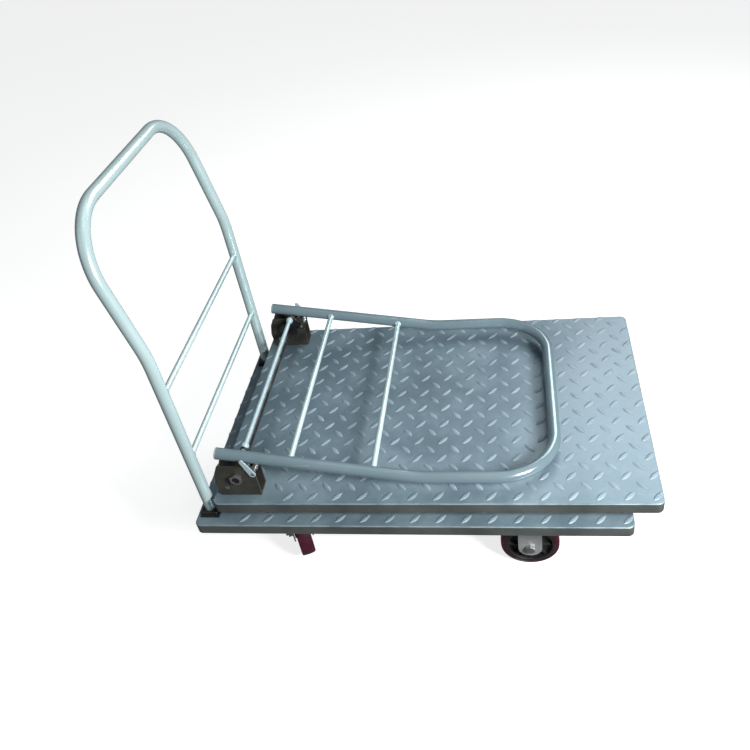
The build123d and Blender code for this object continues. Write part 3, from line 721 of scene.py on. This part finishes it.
class TRUCK_OT_handles(TruckOperator, bpy.types.Operator):
    """Handle loops, crossbars, end plugs and their welds"""
    bl_idname = "truck.handles"
    bl_label = "Handles"

    def build(self):
        s = sizes()
        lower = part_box("lower_handle_tube")
        joint = JOINTS["upper_handle_fold"]
        pivot = np.array(joint["pos_m"])
        r = s.tube_radius
        half = (lower[1].y - lower[0].y) / 2 - r
        lean = (lower[1].x - lower[0].x) - 2 * r
        plans = (("lower", np.array([lower[1].x - r, (lower[0].y + lower[1].y) / 2, LOWER_PAN[1].z]),
                  lower[0].z, 0.0),
                 ("upper", np.array([pivot[0] - s.stile_offset, pivot[1], UPPER_PAN[1].z]),
                  pivot[2] - s.foot_drop, joint["range_deg"][1]))
        for name, base, foot, folded in plans:
            x, y, deck = base
            bend, top = deck + s.lean_start, deck + s.handle_height
            corners = [(x, y - half, foot), (x, y - half, bend), (x - lean, y - half, top),
                       (x - lean, y + half, top), (x, y + half, bend), (x, y + half, foot)]
            line = rounded_path(corners, (s.lean_radius, s.loop_radius, s.loop_radius, s.lean_radius))
            line, turn = swing(line, pivot, folded)
            guide = turn @ np.array([1.0, 0, 0])
            loop = make_object(f"{name}_handle_loop", *tube(line, r, s.tube_sides, guide), 50.0)
            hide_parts(f"{name}_handle_tube")
            # lower handle takes the painted-light copy, upper the painted-shade copy
            finish = "handle_paint" if name == "lower" else "aged_handle_paint"
            place(loop, f"{name}_handle_tube", material(finish))
            welds = []
            for level, height in (("low", s.low_bar), ("high", s.high_bar)):
                node = f"{name}_handle_crossbar_{level}"
                place(softened(node, 0.0, angle=60.0), node, material("crossbar_paint"))
                for side in (-1, 1):
                    at, turn = swing(np.array([x, y + side * half, deck + height]), pivot, folded)
                    welds.append(rim_bead(at, s.bar_radius, r, side, turn))
            obj = make_object(f"{name}_crossbar_welds", *joined(welds), 60.0)
            place(obj, f"{name}_handle_tube", material("weld_metal"))
            node = f"{name}_handle_end_plugs"
            place(softened(node, 0.0004), node, material("plug_plastic"))


class TRUCK_OT_sockets(TruckOperator, bpy.types.Operator):
    """Sockets of the lower handle and their clamp screws"""
    bl_idname = "truck.sockets"
    bl_label = "Handle Sockets"

    def build(self):
        place(softened("lower_handle_sockets", 0.0008), "lower_handle_sockets", material("socket_paint"))
        node = "lower_socket_clamp_screws"
        place(softened(node, 0.0006), node, material("zinc"))


class TRUCK_OT_hinges(TruckOperator, bpy.types.Operator):
    """Hinge brackets, pivot shaft, lugs, lock discs and fasteners of the upper handle"""
    bl_idname = "truck.hinges"
    bl_label = "Handle Hinges"

    def build(self):
        plan = {"hinge_bracket_near": ("bracket_paint", 0.0008),
                "hinge_bracket_far": ("bracket_paint", 0.0008),
                "handle_lugs": ("bracket_paint", 0.0006), "lock_discs": ("shaft_steel", 0.0005),
                "pivot_shaft": ("shaft_steel", 0.0008), "pivot_end_nuts": ("zinc", 0.0008),
                "hinge_stop_pins": ("zinc", 0.0006), "bracket_bolts": ("zinc", 0.0005)}
        for node, (finish, bevel) in plan.items():
            place(softened(node, bevel), node, material(finish))


class TRUCK_OT_latch(TruckOperator, bpy.types.Operator):
    """Latch pawls, pins, outer levers, toe bar and torsion springs"""
    bl_idname = "truck.latch"
    bl_label = "Handle Latch"

    def build(self):
        plan = {"latch_pawls": ("shaft_steel", 0.0006), "latch_pins": ("zinc", 0.0005),
                "latch_levers": ("pale_zinc", 0.0006), "latch_toe_bar": ("pale_zinc", 0.0006)}
        for node, (finish, bevel) in plan.items():
            place(softened(node, bevel), node, material(finish))
        self.springs()

    @staticmethod
    def springs():
        """Five-turn coils of round wire on the latch pins."""
        joint = JOINTS["latch_release"]
        low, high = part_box("latch_springs")
        x, _, z = joint["pos_m"]
        wire, turns = 0.001, 5
        radius = (high.x - low.x) / 2 - wire
        length = 0.0026 * turns
        a = np.linspace(0, 2 * math.pi * turns, 40 * turns)
        coils = []
        for edge in (low.y + wire, high.y - wire - length):
            line = np.stack([x + radius * np.cos(a), edge + length * a / a[-1], z + radius * np.sin(a)], -1)
            coils.append(tube(line, wire, 8, (0, 1, 0)))
        obj = make_object("latch_spring_coils", *joined(coils), 60.0)
        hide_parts("latch_springs")
        place(obj, "latch_springs", material("zinc"))


class TRUCK_OT_casters(TruckOperator, bpy.types.Operator):
    """Caster forks, plates, kingpins, balls, axles and plate bolts"""
    bl_idname = "truck.casters"
    bl_label = "Casters"

    def build(self):
        for word in SIDES:
            for node, bevel in ((f"fixed_{word}_fork", 0.0008), (f"swivel_{word}_fork", 0.0008),
                                (f"swivel_{word}_plate", 0.0008)):
                place(softened(node, bevel), node, material("fork_zinc"))
            place(softened(f"swivel_{word}_balls", 0.0, angle=80.0), f"swivel_{word}_balls",
                  material("bearing_steel"))
            for node in (f"swivel_{word}_kingpin", f"fixed_{word}_axle", f"swivel_{word}_axle"):
                place(softened(node, 0.0006), node, material("zinc"))
        for node in ("caster_bolts", "caster_nuts"):
            place(softened(node, 0.0005), node, material("zinc"))


class TRUCK_OT_wheels(TruckOperator, bpy.types.Operator):
    """Moulded treads, ribbed cores and bearings of the four wheels"""
    bl_idname = "truck.wheels"
    bl_label = "Wheels"

    def build(self):
        for word in SIDES:
            for kind in ("fixed", "swivel"):
                name = f"{kind}_{word}"
                joint = JOINTS[f"{name}_roll"]
                centre, axis = np.array(joint["pos_m"]), np.array(joint["axis"], float)
                tread = make_object(f"{name}_tread", *turned(self.tread_profile(), centre, axis, 96), 40.0)
                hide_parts(f"{name}_tyre")
                place(tread, f"{name}_tyre", material("tyre_rubber"))
                self.shade_tread_walls(tread, centre, axis)
                core = make_object(f"{name}_core", *self.core(centre, axis), 35.0)
                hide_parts(f"{name}_wheel_core")
                place(core, f"{name}_wheel_core", material("core_plastic"))
                node = f"{name}_bearings"
                place(softened(node, 0.0004), node, material("bearing_steel"))

    @staticmethod
    def shade_tread_walls(tread, centre, axis):
        """Gives the flat ring of each side wall its own darker finish, painted shade on the wheel's side faces."""
        tread.data.materials.append(material("tread_wall"))
        middle = np.zeros(len(tread.data.polygons) * 3)
        tread.data.polygons.foreach_get("center", middle)
        middle = middle.reshape(-1, 3) - centre
        along = middle @ axis
        radius = np.linalg.norm(middle - along[:, None] * axis, axis=1)
        ring_edge, wall_start = 0.0556, 0.0155
        on_wall = (radius < ring_edge) & (np.abs(along) > wall_start)
        tread.data.polygons.foreach_set("material_index", on_wall.astype(int))

    @staticmethod
    def tread_profile():
        """Crowned tread, r = R - k y^2, with rounded shoulders and a moulding line on each wall."""
        outer, inner, half = 0.0625, 0.0505, 0.016
        y = np.linspace(-0.012, 0.012, 9)
        crown = np.stack([outer - 0.0009 * (y / 0.012) ** 2, y], -1)
        t = np.linspace(0, math.pi / 2, 6)[1:]
        shoulder = np.stack([outer - 0.0049 + 0.004 * np.cos(t), 0.012 + 0.004 * np.sin(t)], -1)
        wall = np.array([[0.0556, half], [0.0552, half - 0.0006], [0.0546, half - 0.0006], [0.0542, half],
                         [inner + 0.0004, half]])
        right = np.concatenate([shoulder, wall])
        left = right[::-1] * (1, -1)
        return np.concatenate([left, crown, right])

    @staticmethod
    def core(centre, axis):
        """Turned hub, web and rim, with eight ribs on each side."""
        profile = [(0.0075, -0.011), (0.01405, -0.011), (0.01405, -0.019), (0.0172, -0.019), (0.018, -0.0182),
                   (0.0195, -0.006), (0.0215, -0.005), (0.0440, -0.005), (0.0455, -0.0065), (0.0468, -0.0152),
                   (0.0476, -0.016), (0.0504, -0.016)]
        profile = profile + [(r, -y) for r, y in reversed(profile)]
        parts = [turned(profile, centre, axis, 72)]
        up = np.array([0, 0, 1.0])
        side = np.cross(axis, up)
        for k in range(16):
            a = 2 * math.pi * (k % 8) / 8
            face = 1 if k < 8 else -1
            out = math.cos(a) * side + math.sin(a) * up
            across = np.cross(axis, out)
            corners = [centre + r * out + w * across + face * h * axis
                       for r, top in ((0.0185, 0.0145), (0.0465, 0.0125))
                       for w, h in ((-0.0018, 0.004), (0.0018, 0.004), (0.0011, top), (-0.0011, top))]
            faces = [[0, 1, 2, 3], [7, 6, 5, 4], [0, 4, 5, 1], [1, 5, 6, 2], [2, 6, 7, 3], [3, 7, 4, 0]]
            if face < 0:
                faces = [f[::-1] for f in faces]
            parts.append((np.array(corners), faces))
        return joined(parts)


# ---------------------------------------------------------------- stage

class TRUCK_OT_stage(TruckOperator, bpy.types.Operator):
    """Pale floor, soft lights and the camera"""
    bl_idname = "truck.stage"
    bl_label = "Stage"

    def build(self):
        self.floor()
        self.light("key", (1.15, -1.05, 1.20), 0.45, 54.0, (1.0, 0.99, 0.97))
        self.light("sheen", (0.95, 1.70, 1.90), 1.2, 26.0, (0.96, 0.99, 1.0))
        self.light("fill", (-2.2, -1.6, 2.2), 2.0, 4.0, (0.92, 0.97, 1.0))
        self.light("top", (0.8, 0.3, 3.2), 2.0, 6.0, (0.96, 0.99, 1.0))
        world = bpy.data.worlds.new("studio")
        world.use_nodes = True
        sky = world.node_tree.nodes["Background"]
        sky.inputs["Color"].default_value = (0.90, 0.94, 0.97, 1)
        seen = world.node_tree.nodes.new("ShaderNodeLightPath").outputs["Is Camera Ray"]
        strength = math_node(world.node_tree, "ADD", math_node(world.node_tree, "MULTIPLY", seen, 0.80), 0.16)
        world.node_tree.links.new(strength, sky.inputs["Strength"])
        bpy.context.scene.world = world
        bpy.context.scene.view_settings.view_transform = "Standard"
        self.camera()

    @staticmethod
    def floor():
        size = 60.0
        mesh = bpy.data.meshes.new("floor")
        corners = [(-size, -size, 0), (size, -size, 0), (size, size, 0), (-size, size, 0)]
        mesh.from_pydata(corners, [], [(0, 1, 2, 3)])
        floor = bpy.data.objects.new("floor", mesh)
        bpy.context.scene.collection.objects.link(floor)
        finish = Finish("floor_pale")
        grain = noise_node(finish.tree, object_coordinates(finish.tree), 3.0, 3)
        finish.colour(mix_colour(finish.tree, grain, (0.50, 0.50, 0.50, 1), (0.54, 0.54, 0.54, 1)))
        finish.fixed(Roughness=0.85, Emission_Color=(1, 1, 1, 1), Emission_Strength=0.78)
        mesh.materials.append(finish.material)
        floor.visible_diffuse = floor.visible_glossy = False

    @staticmethod
    def light(name, where, size, power, tint):
        data = bpy.data.lights.new(name, "AREA")
        data.shape = "SQUARE"
        data.size, data.energy, data.color = size, power, tint
        lamp = bpy.data.objects.new(name, data)
        lamp.location = where
        aim = Vector((0, 0, 0.3)) - Vector(where)
        lamp.rotation_euler = aim.to_track_quat("-Z", "Y").to_euler()
        bpy.context.scene.collection.objects.link(lamp)

    @staticmethod
    def camera():
        """Looks down the length of the deck from the near side, tipped a little sideways."""
        yaw, pitch, roll = (math.radians(a) for a in (-14.08, 39.0, 10.86))
        ahead = Vector((math.sin(yaw) * math.cos(pitch), math.cos(yaw) * math.cos(pitch), -math.sin(pitch)))
        right = Vector((math.cos(yaw), -math.sin(yaw), 0))
        down = ahead.cross(right)
        right, down = (math.cos(roll) * right + math.sin(roll) * down,
                       math.cos(roll) * down - math.sin(roll) * right)
        data = bpy.data.cameras.new("camera")
        data.lens = 35.95
        eye = bpy.data.objects.new("camera", data)
        turn = Matrix((right, -down, -ahead)).transposed().to_4x4()
        eye.matrix_world = Matrix.Translation(Vector((0.231, -1.255, 1.4027))) @ turn
        bpy.context.scene.collection.objects.link(eye)
        bpy.context.scene.camera = eye


# ---------------------------------------------------------------- add-on

class TRUCK_PT_panel(bpy.types.Panel):
    """Sizes, colours and builders of the trucks."""
    bl_idname = "TRUCK_PT_panel"
    bl_label = "Platform Trucks"
    bl_space_type = "VIEW_3D"
    bl_region_type = "UI"
    bl_category = "Truck"

    def draw(self, context):
        for group in (sizes(), colours()):
            box = self.layout.box()
            for name in group.__annotations__:
                box.prop(group, name)
        for operator in BUILDERS:
            self.layout.operator(operator.bl_idname)


BUILDERS = (TRUCK_OT_decks, TRUCK_OT_tread, TRUCK_OT_underframe, TRUCK_OT_handles, TRUCK_OT_sockets,
            TRUCK_OT_hinges, TRUCK_OT_latch, TRUCK_OT_casters, TRUCK_OT_wheels, TRUCK_OT_stage)
CLASSES = (TruckSizes, TruckColours, *BUILDERS, TRUCK_PT_panel)


def register():
    for cls in CLASSES:
        bpy.utils.register_class(cls)
    bpy.types.Scene.truck_sizes = PointerProperty(type=TruckSizes)
    bpy.types.Scene.truck_colours = PointerProperty(type=TruckColours)


def unregister():
    del bpy.types.Scene.truck_colours
    del bpy.types.Scene.truck_sizes
    for cls in reversed(CLASSES):
        bpy.utils.unregister_class(cls)


def main():
    register()
    for builder in BUILDERS:
        family, name = builder.bl_idname.split(".")
        getattr(getattr(bpy.ops, family), name)()


if __name__ == "__main__":
    main()
